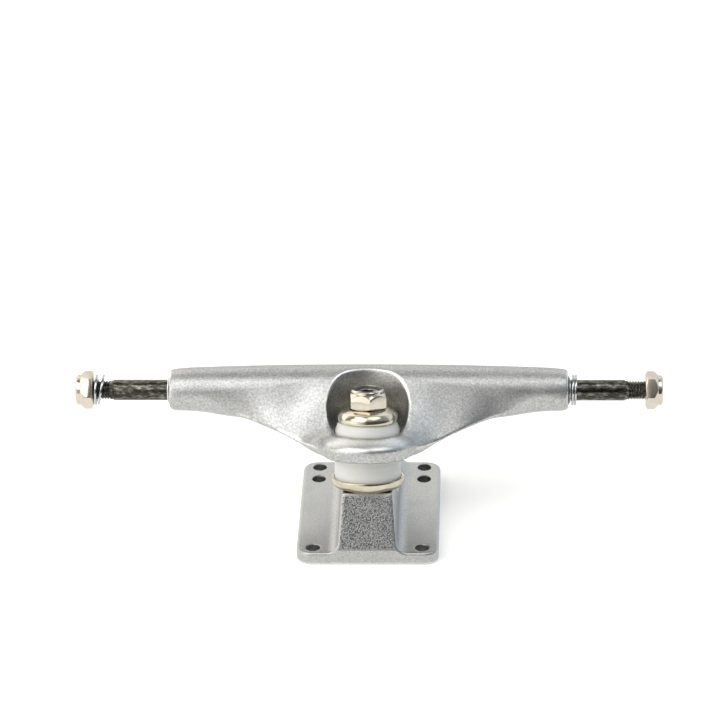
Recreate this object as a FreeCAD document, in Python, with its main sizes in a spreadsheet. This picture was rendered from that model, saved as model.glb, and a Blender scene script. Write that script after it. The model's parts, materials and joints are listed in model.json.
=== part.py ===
import FreeCAD
import Part
import Sketcher
import math
import os

# Skateboard truck. Millimetres, Z up, the road side on top as it stands on a bench.
# X runs along the axle. Y runs from the kingpin side (minus) to the pivot side (plus).
# The origin is the middle of the bolt pattern on the underside of the base plate.

doc = FreeCAD.newDocument("SkateboardTruck")
sheet = doc.addObject("Spreadsheet::Sheet", "Sizes")

SIZES = {
    # Base plate
    "plate_thickness": 5.0,
    "plate_front_margin": 12.57,
    "plate_back_margin": 12.25,
    "plate_corner_radius": 5.5,
    "plate_edge_radius": 0.9,
    "bolt_hole_diameter": 5.3,
    "bolt_pitch_across": 41.28,
    "bolt_pitch_step": 9.52,
    "bolt_side_margin": 6.36,
    "bolt_end_margin": 4.75,
    "pedestal_foot_width": 22.9,
    "pedestal_draft_angle": 5.0,
    "pedestal_end_height": 6.2,
    "pedestal_root_radius": 4.0,
    "pedestal_bend_radius": 1.0,
    "kingpin_seat_front": 8.8,
    "kingpin_seat_back": 12.5,
    "valley_height": 9.5,
    "valley_run": 7.14,
    "cup_seat_front": 8.6,
    "cup_seat_back": 8.9,
    # Kingpin, tilted from upright, measured along its own axis from the underside
    "kingpin_foot_setback": 23.93,
    "kingpin_tilt_angle": 15.0,
    "kingpin_diameter": 9.5,
    "kingpin_bore_diameter": 4.8,
    "kingpin_head_diameter": 15.0,
    "kingpin_head_height": 5.5,
    "kingpin_head_depth": 2.6,
    "kingpin_head_chamfer": 0.8,
    "kingpin_seat_level": 24.0,
    "kingpin_end_inset": 0.7,
    "kingpin_end_chamfer": 0.5,
    # Cup washers and bushings
    "cup_washer_height": 4.6,
    "cup_washer_wall": 1.1,
    "cup_washer_gap": 0.15,
    "board_side_bushing_diameter": 25.2,
    "board_side_bushing_height": 15.35,
    "road_side_bushing_diameter": 24.6,
    "road_side_bushing_height": 10.0,
    "road_side_washer_step": 0.5,
    "bushing_chamfer": 0.8,
    "bushing_foot_width": 2.88,
    "bushing_foot_height": 2.4,
    "bushing_taper": 1.35,
    "bushing_crown_width": 2.86,
    # Ring of the hanger, round the kingpin
    "ring_lower_height": 4.2,
    "ring_upper_height": 4.75,
    "ring_wall": 7.6,
    "ring_draft": 0.9,
    "ring_crown_height": 6.5,
    "ring_hole_gap": 1.6,
    "ring_lower_recess": 2.8,
    "ring_upper_recess": 2.7,
    # Kingpin nut
    "kingpin_nut_wall": 2.0,
    "kingpin_nut_collar_step": 0.4,
    "kingpin_nut_hex_height": 6.0,
    "kingpin_nut_collar_height": 1.4,
    "kingpin_nut_turn_angle": 38.9,
    # Axle and its nuts and washers
    "axle_rise": 11.41,
    "axle_diameter": 7.94,
    "axle_stub_length": 34.9,
    "axle_thread_length": 13.0,
    "axle_thread_depth": 0.32,
    "axle_end_chamfer": 0.6,
    "axle_nut_from_end": 5.5,
    "axle_nut_wall": 2.7,
    "axle_nut_collar_step": 0.55,
    "axle_nut_hex_height": 4.9,
    "axle_nut_collar_height": 1.8,
    "axle_nut_turn_angle": 27.0,
    "nut_foot_chamfer": 0.8,
    "nut_shoulder_chamfer": 1.5,
    "nut_lip": 0.6,
    "insert_height": 1.5,
    "insert_width": 1.1,
    "speed_ring_play": 0.33,
    "speed_ring_width": 1.6,
    "speed_ring_thickness": 0.8,
    "speed_ring_gap": 0.25,
    "outer_left_lean_angle": 3.0,
    "inner_left_lean_angle": 11.0,
    "right_lean_angle": 2.0,
    # Pivot nose and its cup
    "pivot_span": 48.18,
    "pivot_height": 13.4,
    "pivot_tilt_angle": 30.0,
    "pivot_radius": 4.8,
    "pivot_length": 13.5,
    "pivot_depth": 3.5,
    "cup_wall": 1.65,
    "cup_flange_width": 1.3,
    "cup_flange_thickness": 1.8,
    "cup_mouth": 0.8,
    # Barrel of the hanger, round the axle
    "hanger_width": 152.4,
    "barrel_end_radius": 7.75,
    "barrel_shoulder_radius": 8.8,
    "barrel_middle_radius": 10.0,
    "barrel_shoulder_length": 10.0,
    "hanger_boss_wall": 0.93,
    "hanger_boss_height": 0.9,
    # Web and window of the hanger
    "web_thickness": 9.0,
    "web_top_inset": 0.7,
    "web_top_drop": 2.8,
    "web_field_depth": 0.9,
    "web_rim_radius": 1.76,
    "web_rim_foot_width": 1.65,
    "neck_width": 10.7,
    "neck_foot_back": 1.75,
    "neck_foot_rise": 9.62,
    "window_bottom_gap": 1.1,
    "window_waist_gap": 3.4,
    "window_waist_height": 4.6,
    "window_side_gap": 4.2,
    "window_back_gap": 0.45,
    "window_back_angle": 2.0,
    "window_back_radius": 19.0,
    "window_wall": 0.72,
    "window_height": 30.0,
    "lip_height": 3.4,
    "lip_width": 22.0,
    "lip_depth": 8.0,
    "lip_forward": 2.9,
    "lip_rise": 0.6,
    # Clearances and overrun
    "running_clearance": 0.05,
    "nose_clearance": 0.2,
    "bushing_clearance": 0.3,
    "bore_clearance": 0.1,
    "axle_bore_clearance": 0.01,
    "overrun": 2.0,
}

# What follows from the sizes above, each from words that stand before it
FOLLOWS = {
    "pivot_back": "pivot_span - kingpin_foot_setback",
    "plate_front": "kingpin_foot_setback + plate_front_margin",
    "plate_back": "pivot_back + plate_back_margin",
    "plate_width": "bolt_pitch_across + 2 * bolt_side_margin",
    "kingpin_head_seat": "kingpin_head_depth + kingpin_head_height",
    "kingpin_seat_y": "kingpin_seat_level * sin( kingpin_tilt_angle ) - kingpin_foot_setback",
    "kingpin_seat_z": "kingpin_seat_level * cos( kingpin_tilt_angle )",
    "kingpin_seat_end": "kingpin_seat_y + kingpin_seat_back * cos( kingpin_tilt_angle )",
    "pedestal_top": "kingpin_seat_z + kingpin_seat_front * sin( kingpin_tilt_angle ) + overrun",
    "cup_seat_y": "pivot_back - pivot_depth * sin( pivot_tilt_angle )",
    "cup_seat_z": "pivot_height + pivot_depth * cos( pivot_tilt_angle )",
    "cup_seat_start": "cup_seat_y - cup_seat_front * cos( pivot_tilt_angle )",
    "cup_seat_low": "cup_seat_z - cup_seat_front * sin( pivot_tilt_angle )",
    "board_side_washer_diameter": "board_side_bushing_diameter"
    " + 2 * ( cup_washer_wall + cup_washer_gap )",
    "road_side_washer_diameter": "road_side_bushing_diameter - 2 * road_side_washer_step",
    "ring_radius": "board_side_bushing_diameter / 2 + ring_wall",
    "ring_bottom_level": "kingpin_seat_level + cup_washer_wall + board_side_bushing_height"
    " - ring_lower_recess",
    "ring_parting_level": "ring_bottom_level + ring_lower_height",
    "ring_top_level": "ring_parting_level + ring_upper_height",
    "kingpin_nut_level": "ring_top_level - ring_upper_recess + road_side_bushing_height"
    " + cup_washer_wall",
    "kingpin_nut_height": "kingpin_nut_hex_height + kingpin_nut_collar_height",
    "kingpin_end_level": "kingpin_nut_level + kingpin_nut_height - kingpin_end_inset",
    "window_waist_level": "ring_top_level + window_waist_height",
    "window_bottom_radius": "road_side_bushing_diameter / 2 + window_bottom_gap",
    "window_waist_radius": "road_side_washer_diameter / 2 + window_waist_gap",
    "window_radius": "road_side_washer_diameter / 2 + window_side_gap",
    "window_back": "road_side_washer_diameter / 2 + window_back_gap",
    "axle_height": "ring_parting_level * cos( kingpin_tilt_angle ) + axle_rise",
    "axle_back": "axle_height * tan( kingpin_tilt_angle ) - kingpin_foot_setback"
    " + ( window_back + axle_diameter / 2 + window_wall ) / cos( kingpin_tilt_angle )",
    "axle_length": "hanger_width + 2 * axle_stub_length",
    "axle_thread_diameter": "axle_diameter - 2 * axle_thread_depth",
    "axle_nut_place": "axle_length / 2 - axle_nut_from_end",
    "axle_nut_height": "axle_nut_hex_height + axle_nut_collar_height",
    "speed_ring_bore": "axle_diameter + 2 * speed_ring_play",
    "speed_ring_diameter": "speed_ring_bore + 2 * speed_ring_width",
    "nose_room": "pivot_radius + nose_clearance",
    "cup_radius": "nose_room + cup_wall",
    "web_top_y": "axle_back + barrel_middle_radius - web_top_inset",
    "web_top_z": "axle_height - web_top_drop",
    "window_middle": "window_back_radius - window_back",
    "neck_foot_y": "pivot_back + neck_foot_back",
    "neck_foot_z": "pivot_height + neck_foot_rise",
}

for row, (name, value) in enumerate(SIZES.items(), start=1):
    sheet.set("A%d" % row, name)
    sheet.set("B%d" % row, str(value))
    sheet.setAlias("B%d" % row, name)
doc.recompute()
follows = doc.addObject("App::VarSet", "Follows")


def cells(text):
    """An expression in which each word that is a size is read from where it is kept."""
    words = []
    for word in text.replace("(", "( ").replace(")", " )").split():
        if word in SIZES:
            word = "Sizes." + word
        elif word in FOLLOWS:
            word = "Follows." + word
        words.append(word)
    return " ".join(words)


for name, text in FOLLOWS.items():
    follows.addProperty("App::PropertyFloat", name)
    follows.setExpression(name, cells(text))
doc.recompute()


def size(name):
    if name in FOLLOWS:
        return float(getattr(follows, name))
    return float(sheet.get(name))


def half(name):
    return size(name) / 2


# Helpers


def bind(item, **expressions):
    for key, text in expressions.items():
        item.setExpression(key.replace("__", "."), cells(text))


def body_plane(body, role):
    return [item for item in body.Origin.OriginFeatures if item.Role == role][0]


def outline(body, name, role, corners):
    """A closed sketch of straight lines whose corners are bound to the sheet."""
    sketch = body.newObject("Sketcher::SketchObject", name)
    sketch.AttachmentSupport = (body_plane(body, role), "")
    sketch.MapMode = "FlatFace"
    count = len(corners)
    for number in range(count):
        start = 2 * math.pi * number / count
        end = 2 * math.pi * (number + 1) / count
        sketch.addGeometry(
            Part.LineSegment(
                FreeCAD.Vector(math.cos(start), math.sin(start), 0),
                FreeCAD.Vector(math.cos(end), math.sin(end), 0),
            ),
            False,
        )
    for number in range(count):
        sketch.addConstraint(
            Sketcher.Constraint("Coincident", number, 2, (number + 1) % count, 1)
        )
    for number, corner in enumerate(corners):
        for kind, text in zip(("DistanceX", "DistanceY"), corner):
            index = sketch.addConstraint(
                Sketcher.Constraint(kind, -1, 1, number, 1, 1.0)
            )
            sketch.setExpression("Constraints[%d]" % index, cells(text))
    return sketch


def turned_body(name, corners):
    """A body turned about its own Z axis from (radius, level) corners."""
    body = doc.addObject("PartDesign::Body", name)
    sketch = outline(body, name + "_profile", "XZ_Plane", corners)
    turn = body.newObject("PartDesign::Revolution", name + "_turn")
    turn.Profile = sketch
    turn.ReferenceAxis = (sketch, ["V_Axis"])
    turn.Angle = 360
    return body


def on_kingpin(item, level="0"):
    """Puts an item's own Z axis on the kingpin axis, at a level along it."""
    item.Placement = FreeCAD.Placement(
        FreeCAD.Vector(), FreeCAD.Rotation(FreeCAD.Vector(1, 0, 0), 1)
    )
    bind(
        item,
        Placement__Base__y="0 - kingpin_foot_setback + ( %s ) * sin( kingpin_tilt_angle )" % level,
        Placement__Base__z="( %s ) * cos( kingpin_tilt_angle )" % level,
        Placement__Rotation__Angle="0 - kingpin_tilt_angle",
    )


def on_axle(item, along="0", side=1, lean="0"):
    """Puts an item's own Z axis on the axle, pointing out to one side."""
    item.Placement = FreeCAD.Placement(
        FreeCAD.Vector(), FreeCAD.Rotation(FreeCAD.Vector(0, side, 0), 90)
    )
    bind(
        item,
        Placement__Base__x="%d * ( %s )" % (side, along),
        Placement__Base__y="axle_back",
        Placement__Base__z="axle_height",
        Placement__Rotation__Angle="90 + %d * ( %s )" % (side, lean),
    )


def on_pivot(item, up="0"):
    """Puts an item's own Z axis on the pivot axis, at a distance up from its centre."""
    item.Placement = FreeCAD.Placement(
        FreeCAD.Vector(), FreeCAD.Rotation(FreeCAD.Vector(1, 0, 0), 1)
    )
    bind(
        item,
        Placement__Base__y="pivot_back - ( %s ) * sin( pivot_tilt_angle )" % up,
        Placement__Base__z="pivot_height + ( %s ) * cos( pivot_tilt_angle )" % up,
        Placement__Rotation__Angle="pivot_tilt_angle",
    )


def edges_where(shape, test):
    return ["Edge%d" % n for n, edge in enumerate(shape.Edges, start=1) if test(edge)]


# Base plate: a flat plate with a drafted pedestal along its middle, which carries the
# kingpin seat in front and the pivot cup at the back, with a valley between them


def make_baseplate():
    body = doc.addObject("PartDesign::Body", "baseplate")
    plate = outline(
        body,
        "plate_outline",
        "XY_Plane",
        [
            ("0 - plate_width / 2", "0 - plate_front"),
            ("plate_width / 2", "0 - plate_front"),
            ("plate_width / 2", "plate_back"),
            ("0 - plate_width / 2", "plate_back"),
        ],
    )
    pad = body.newObject("PartDesign::Pad", "plate_pad")
    pad.Profile = plate
    bind(pad, Length="plate_thickness")
    doc.recompute()

    thick = size("plate_thickness")
    near = size("plate_edge_radius") / 10

    def rounded(name, base, test, radius):
        fillet = body.newObject("PartDesign::Fillet", name)
        fillet.Base = (base, edges_where(base.Shape, test))
        bind(fillet, Radius=radius)
        doc.recompute()
        return fillet

    def is_upright(edge):
        return abs(edge.BoundBox.ZLength - thick) < near

    rounded("plate_corners", pad, is_upright, "plate_corner_radius")

    # The pedestal starts as a plain bar from end to end
    bar_side = outline(
        body,
        "pedestal_bar_side",
        "YZ_Plane",
        [
            ("0 - plate_front", "0"),
            ("plate_back", "0"),
            ("plate_back", "pedestal_top"),
            ("0 - plate_front", "pedestal_top"),
        ],
    )
    tip = body.newObject("PartDesign::Pad", "pedestal_bar")
    tip.Profile = bar_side
    tip.Midplane = True
    bind(tip, Length="pedestal_foot_width")
    doc.recompute()

    def cut_through(name, role, corners):
        cut = body.newObject("PartDesign::Pocket", name)
        cut.Profile = outline(body, name + "_outline", role, corners)
        cut.Type = 1
        cut.Midplane = True
        doc.recompute()
        return cut

    for side_name, sign in (("left", -1), ("right", 1)):
        foot = "%d * pedestal_foot_width / 2" % sign
        clear = "%d * ( pedestal_foot_width / 2 + overrun )" % sign
        lean_in = "%d * ( pedestal_top + overrun - plate_thickness )" % sign
        tip = cut_through(
            "draft_cut_" + side_name,
            "XZ_Plane",
            [
                (foot, "plate_thickness"),
                (clear, "plate_thickness"),
                (clear, "pedestal_top + overrun"),
                (
                    "%s - %s * tan( pedestal_draft_angle )" % (foot, lean_in),
                    "pedestal_top + overrun",
                ),
            ],
        )

    def is_root(edge):
        box = edge.BoundBox
        level = abs(box.ZMin - thick) < near and abs(box.ZMax - thick) < near
        return level and abs(abs(box.Center.x) - half("pedestal_foot_width")) < near

    tip = rounded("pedestal_root", tip, is_root, "pedestal_root_radius")

    # What lies above the slopes, the two seats and the valley is cut away
    tip = cut_through(
        "pedestal_slopes",
        "YZ_Plane",
        [
            ("0 - plate_front - overrun", "pedestal_end_height"),
            ("0 - plate_front", "pedestal_end_height"),
            (
                "kingpin_seat_y - kingpin_seat_front * cos( kingpin_tilt_angle )",
                "kingpin_seat_z + kingpin_seat_front * sin( kingpin_tilt_angle )",
            ),
            (
                "kingpin_seat_end",
                "kingpin_seat_z - kingpin_seat_back * sin( kingpin_tilt_angle )",
            ),
            ("kingpin_seat_end + valley_run", "valley_height"),
            (
                "cup_seat_start - ( cup_seat_low - valley_height ) * tan( pivot_tilt_angle )",
                "valley_height",
            ),
            ("cup_seat_start", "cup_seat_low"),
            (
                "cup_seat_y + cup_seat_back * cos( pivot_tilt_angle )",
                "cup_seat_z + cup_seat_back * sin( pivot_tilt_angle )",
            ),
            ("plate_back", "pedestal_end_height"),
            ("plate_back + overrun", "pedestal_end_height"),
            ("plate_back + overrun", "pedestal_top + overrun"),
            ("0 - plate_front - overrun", "pedestal_top + overrun"),
        ],
    )

    # Each end wall bends into its slope, and one rounding then follows the rim of the plate
    # and the edges of the pedestal
    def is_bend(edge):
        level = size("pedestal_end_height")
        return abs(edge.BoundBox.ZMin - level) < near and abs(edge.BoundBox.ZMax - level) < near

    def is_soft(edge):
        box = edge.BoundBox
        if box.ZMin < thick - near:
            return False
        if box.XMin < 0 < box.XMax:
            between_seats = size("kingpin_seat_y") < box.Center.y < size("cup_seat_y")
            return box.ZMin > size("cup_seat_z") and not between_seats
        along = box.YLength > size("plate_front")
        return not along or abs(box.Center.x) > half("plate_width") - near

    tip = rounded("pedestal_bends", tip, is_bend, "pedestal_bend_radius")
    body.Tip = rounded("soft_edges", tip, is_soft, "plate_edge_radius")
    # Bolt holes, in two overlapping patterns that share the front pair
    holes = body.newObject("Sketcher::SketchObject", "bolt_circles")
    holes.AttachmentSupport = (body_plane(body, "XY_Plane"), "")
    holes.MapMode = "FlatFace"
    rows = (
        "bolt_end_margin - plate_front",
        "plate_back - bolt_end_margin - bolt_pitch_step",
        "plate_back - bolt_end_margin",
    )
    for sign in (-1, 1):
        for row in rows:
            circle = holes.addGeometry(
                Part.Circle(FreeCAD.Vector(sign, 0, 0), FreeCAD.Vector(0, 0, 1), 1), False
            )
            across = holes.addConstraint(
                Sketcher.Constraint("DistanceX", -1, 1, circle, 3, float(sign))
            )
            along = holes.addConstraint(
                Sketcher.Constraint("DistanceY", -1, 1, circle, 3, 1.0)
            )
            wide_across = holes.addConstraint(
                Sketcher.Constraint("Diameter", circle, 1.0)
            )
            holes.setExpression(
                "Constraints[%d]" % across, cells("%d * bolt_pitch_across / 2" % sign)
            )
            holes.setExpression("Constraints[%d]" % along, cells(row))
            holes.setExpression("Constraints[%d]" % wide_across, cells("bolt_hole_diameter"))
    drilled = body.newObject("PartDesign::Pocket", "bolt_holes")
    drilled.Profile = holes
    drilled.Type = 1
    drilled.Midplane = True
    doc.recompute()

    # Kingpin bore with a counterbore for its head, and the socket of the pivot cup
    bore = body.newObject("PartDesign::SubtractiveCylinder", "kingpin_bore")
    on_kingpin(bore, "0 - overrun")
    bind(
        bore,
        Radius="kingpin_diameter / 2 + bore_clearance",
        Height="kingpin_seat_level + 3 * overrun",
    )
    doc.recompute()
    counterbore = body.newObject("PartDesign::SubtractiveCylinder", "head_counterbore")
    on_kingpin(counterbore, "0 - 2 * overrun")
    bind(
        counterbore,
        Radius="kingpin_head_diameter / 2 + bushing_clearance",
        Height="kingpin_head_seat + 2 * overrun",
    )
    doc.recompute()
    socket = body.newObject("PartDesign::SubtractiveCylinder", "cup_socket")
    on_pivot(socket)
    bind(
        socket,
        Radius="cup_radius + axle_bore_clearance",
        Height="pivot_depth + overrun",
    )
    doc.recompute()
    dish = body.newObject("PartDesign::SubtractiveSphere", "cup_dish")
    on_pivot(dish)
    bind(dish, Radius="cup_radius + axle_bore_clearance")
    doc.recompute()
    return body


baseplate = make_baseplate()

# Pivot cup: a flanged plastic cup with a round bottom, in the socket of the base plate


def make_pivot_cup():
    flange = "cup_radius + cup_flange_width"
    blank = turned_body(
        "pivot_cup_blank",
        [
            ("0", "0"),
            ("cup_radius", "0"),
            ("cup_radius", "pivot_depth"),
            (flange, "pivot_depth"),
            (flange, "pivot_depth + cup_flange_thickness"),
            ("0", "pivot_depth + cup_flange_thickness"),
        ],
    )
    on_pivot(blank)
    ball = doc.addObject("Part::Sphere", "pivot_cup_ball")
    ball.Angle2 = 0
    on_pivot(ball)
    bind(ball, Radius="cup_radius")
    whole = doc.addObject("Part::Fuse", "pivot_cup_whole")
    whole.Base = blank
    whole.Tool = ball
    inside = doc.addObject("Part::Sphere", "pivot_cup_inside")
    on_pivot(inside)
    bind(inside, Radius="nose_room")
    mouth = doc.addObject("Part::Cone", "pivot_cup_mouth")
    on_pivot(mouth)
    bind(
        mouth,
        Radius1="nose_room",
        Radius2="nose_room + cup_mouth",
        Height="pivot_depth + cup_flange_thickness + axle_bore_clearance",
    )
    room = doc.addObject("Part::Fuse", "pivot_cup_room")
    room.Base = inside
    room.Tool = mouth
    cup = doc.addObject("Part::Cut", "pivot_cup")
    cup.Base = whole
    cup.Tool = room
    return cup


pivot_cup = make_pivot_cup()

# Kingpin: a hollow bolt, pushed up from the underside

kingpin = turned_body(
    "kingpin",
    [
        ("kingpin_bore_diameter / 2", "kingpin_head_seat - kingpin_head_height"),
        (
            "kingpin_head_diameter / 2 - kingpin_head_chamfer",
            "kingpin_head_seat - kingpin_head_height",
        ),
        (
            "kingpin_head_diameter / 2",
            "kingpin_head_seat - kingpin_head_height + kingpin_head_chamfer",
        ),
        ("kingpin_head_diameter / 2", "kingpin_head_seat"),
        ("kingpin_diameter / 2", "kingpin_head_seat"),
        ("kingpin_diameter / 2", "kingpin_end_level - kingpin_end_chamfer"),
        ("kingpin_diameter / 2 - kingpin_end_chamfer", "kingpin_end_level"),
        ("kingpin_bore_diameter / 2", "kingpin_end_level"),
    ],
)
on_kingpin(kingpin)

# Cup washers: pressed dishes, the board side one open to the road and the other to the board.
# The points of the bent wall are counted in thicknesses of the sheet: in from the rim, and
# away from the seat.

pin_hole = "kingpin_diameter / 2 + bore_clearance"
WASHER_OUTSIDE_SHARES = ((3.4, 0.0), (1.1, 1.0), (0.2, 2.3), (0.0, 3.3))
WASHER_INSIDE_SHARES = ((1.0, 3.2), (2.0, 1.8), (3.6, 1.0))


def make_cup_washer(name, diameter, seat, facing):
    """facing is 1 where the rim stands above the seat and -1 where it hangs below it."""

    def corner(inward, away):
        return (
            "%s / 2 - %s * cup_washer_wall" % (diameter, inward),
            "%s + %s * cup_washer_wall" % (seat, facing * away),
        )

    rim = "%s + %d * cup_washer_height" % (seat, facing)
    corners = [(pin_hole, seat)]
    corners += [corner(inward, away) for inward, away in WASHER_OUTSIDE_SHARES]
    corners += [(diameter + " / 2", rim), (diameter + " / 2 - cup_washer_wall", rim)]
    corners += [corner(inward, away) for inward, away in WASHER_INSIDE_SHARES]
    corners += [(pin_hole, "%s + %d * cup_washer_wall" % (seat, facing))]
    return turned_body(name, corners)


board_side_cup_washer = make_cup_washer(
    "board_side_cup_washer", "board_side_washer_diameter", "kingpin_seat_level", 1
)
on_kingpin(board_side_cup_washer)
road_side_cup_washer = make_cup_washer(
    "road_side_cup_washer", "road_side_washer_diameter", "kingpin_nut_level", -1
)
on_kingpin(road_side_cup_washer)

# Bushings: a barrel below the ring and a shorter, tapered one above it

board_side_bushing = turned_body(
    "board_side_bushing",
    [
        (pin_hole, "kingpin_seat_level + cup_washer_wall"),
        (
            "board_side_bushing_diameter / 2 - bushing_foot_width",
            "kingpin_seat_level + cup_washer_wall",
        ),
        (
            "board_side_bushing_diameter / 2",
            "kingpin_seat_level + cup_washer_wall + bushing_foot_height",
        ),
        (
            "board_side_bushing_diameter / 2",
            "ring_bottom_level + ring_lower_recess - bushing_chamfer",
        ),
        (
            "board_side_bushing_diameter / 2 - bushing_chamfer",
            "ring_bottom_level + ring_lower_recess",
        ),
        (pin_hole, "ring_bottom_level + ring_lower_recess"),
    ],
)
on_kingpin(board_side_bushing)

rim_level = "kingpin_nut_level - cup_washer_height"
cup_inside = "road_side_washer_diameter / 2 - cup_washer_wall"
road_side_bushing = turned_body(
    "road_side_bushing",
    [
        (pin_hole, "ring_top_level - ring_upper_recess"),
        ("road_side_bushing_diameter / 2 - bushing_chamfer", "ring_top_level - ring_upper_recess"),
        (
            "road_side_bushing_diameter / 2",
            "ring_top_level - ring_upper_recess + bushing_chamfer",
        ),
        ("road_side_bushing_diameter / 2", "ring_top_level"),
        ("road_side_bushing_diameter / 2 - bushing_taper", rim_level + " - running_clearance"),
        (cup_inside + " - bushing_clearance", rim_level + " - running_clearance"),
        (
            cup_inside + " - bushing_clearance - bushing_crown_width",
            "kingpin_nut_level - cup_washer_wall",
        ),
        (pin_hole, "kingpin_nut_level - cup_washer_wall"),
    ],
)
on_kingpin(road_side_bushing)

# Nuts: a hexagon with a round collar that holds a nylon ring


def make_nut(name, kind, thread, turn):
    """A nut on its own Z axis from level 0, and the nylon ring in the groove of its collar."""
    bore = "%s / 2 + running_clearance" % thread
    side = "( %s / 2 + %s_wall )" % (thread, kind)
    corner = side + " / cos( 30 )"
    collar = "( %s - %s_collar_step )" % (side, kind)
    hexagon = kind + "_hex_height"
    height = kind + "_height"
    wide = bore + " + insert_width"
    roof = height + " - nut_lip / 2"
    floor = roof + " - insert_height"
    blank = turned_body(
        name + "_blank",
        [
            (bore, "0"),
            (side + " - nut_lip / 2", "0"),
            (corner, "nut_foot_chamfer"),
            (corner, hexagon + " - nut_shoulder_chamfer"),
            (side + " - nut_lip / 2", hexagon),
            (collar, hexagon),
            (collar, height + " - nut_lip"),
            (collar + " - nut_lip", height),
            (wide + " - nut_lip / 2", height),
            (wide + " - nut_lip / 2", roof),
            (wide, roof),
            (wide, floor),
            (bore, floor),
        ],
    )
    prism = doc.addObject("Part::Prism", name + "_hexagon")
    prism.Polygon = 6
    bind(prism, Circumradius=corner, Height=hexagon)
    prism.Placement = FreeCAD.Placement(
        FreeCAD.Vector(), FreeCAD.Rotation(FreeCAD.Vector(0, 0, 1), 1)
    )
    bind(prism, Placement__Rotation__Angle=turn)
    round_part = doc.addObject("Part::Cylinder", name + "_collar")
    bind(round_part, Radius=collar, Height=height)
    mask = doc.addObject("Part::Fuse", name + "_mask")
    mask.Base = prism
    mask.Tool = round_part
    nut = doc.addObject("Part::Common", name)
    nut.Base = blank
    nut.Tool = mask
    ring = turned_body(
        name + "_insert",
        [
            (bore, floor + " + running_clearance"),
            (wide + " - running_clearance", floor + " + running_clearance"),
            (wide + " - running_clearance", roof + " - running_clearance"),
            (bore, roof + " - running_clearance"),
        ],
    )
    return nut, ring


kingpin_nut, kingpin_nut_insert = make_nut(
    "kingpin_nut", "kingpin_nut", "kingpin_diameter", "kingpin_nut_turn_angle"
)
on_kingpin(kingpin_nut, "kingpin_nut_level")
on_kingpin(kingpin_nut_insert, "kingpin_nut_level")

SIDES = (("left", -1), ("right", 1))
nuts = []
for side_name, side_sign in SIDES:
    nut, insert = make_nut(
        "axle_nut_" + side_name,
        "axle_nut",
        "axle_thread_diameter",
        "%d * axle_nut_turn_angle" % side_sign,
    )
    for piece in (nut, insert):
        on_axle(piece, "axle_nut_place", side_sign)
        nuts.append(piece)

# Axle: one plain steel bar with a reduced threaded end on each side

axle = turned_body(
    "axle",
    [
        ("0", "0 - axle_length / 2"),
        ("axle_thread_diameter / 2 - axle_end_chamfer", "0 - axle_length / 2"),
        ("axle_thread_diameter / 2", "0 - axle_length / 2 + axle_end_chamfer"),
        ("axle_thread_diameter / 2", "0 - axle_length / 2 + axle_thread_length"),
        ("axle_diameter / 2", "0 - axle_length / 2 + axle_thread_length + axle_end_chamfer / 2"),
        ("axle_diameter / 2", "axle_length / 2 - axle_thread_length - axle_end_chamfer / 2"),
        ("axle_thread_diameter / 2", "axle_length / 2 - axle_thread_length"),
        ("axle_thread_diameter / 2", "axle_length / 2 - axle_end_chamfer"),
        ("axle_thread_diameter / 2 - axle_end_chamfer", "axle_length / 2"),
        ("0", "axle_length / 2"),
    ],
)
on_axle(axle)

# Speed rings: two loose washers on each stub, each leaning a little on the axle. The left
# pair has slid out to its nut, and the right pair lies against the hanger.


def ring_reach(lean):
    """How far a leaning ring's rim stands off its middle, along the axle."""
    return "speed_ring_diameter / 2 * sin( %s )" % lean


def ring_depth(lean):
    return "speed_ring_thickness * cos( %s )" % lean


outer_lean = "outer_left_lean_angle"
inner_lean = "inner_left_lean_angle"
right_lean = "right_lean_angle"
outer_left_place = "axle_nut_place - speed_ring_gap - %s - %s" % (
    ring_depth(outer_lean),
    ring_reach(outer_lean),
)
inner_left_place = "%s + %s - speed_ring_gap - %s - %s" % (
    outer_left_place,
    ring_reach(outer_lean),
    ring_depth(inner_lean),
    ring_reach(inner_lean),
)
inner_right_place = "hanger_width / 2 + hanger_boss_height + speed_ring_gap + " + ring_reach(
    right_lean
)
outer_right_place = "%s + %s + speed_ring_gap" % (inner_right_place, ring_depth(right_lean))

speed_rings = []
for ring_name, ring_place, ring_side, ring_lean in (
    ("speed_ring_outer_left", outer_left_place, -1, outer_lean),
    ("speed_ring_inner_left", inner_left_place, -1, inner_lean),
    ("speed_ring_inner_right", inner_right_place, 1, right_lean),
    ("speed_ring_outer_right", outer_right_place, 1, right_lean),
):
    ring = turned_body(
        ring_name,
        [
            ("speed_ring_bore / 2", "0"),
            ("speed_ring_diameter / 2", "0"),
            ("speed_ring_diameter / 2", "speed_ring_thickness"),
            ("speed_ring_bore / 2", "speed_ring_thickness"),
        ],
    )
    on_axle(ring, ring_place, ring_side, ring_lean)
    speed_rings.append(ring)

# Hanger: a casting whose sections change from a round barrel end to a broad wing.
# Each section is drawn round the axle. A place on it is an angle, counted from straight
# ahead (the kingpin side) and up, and a share of the barrel's radius at that section.

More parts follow.
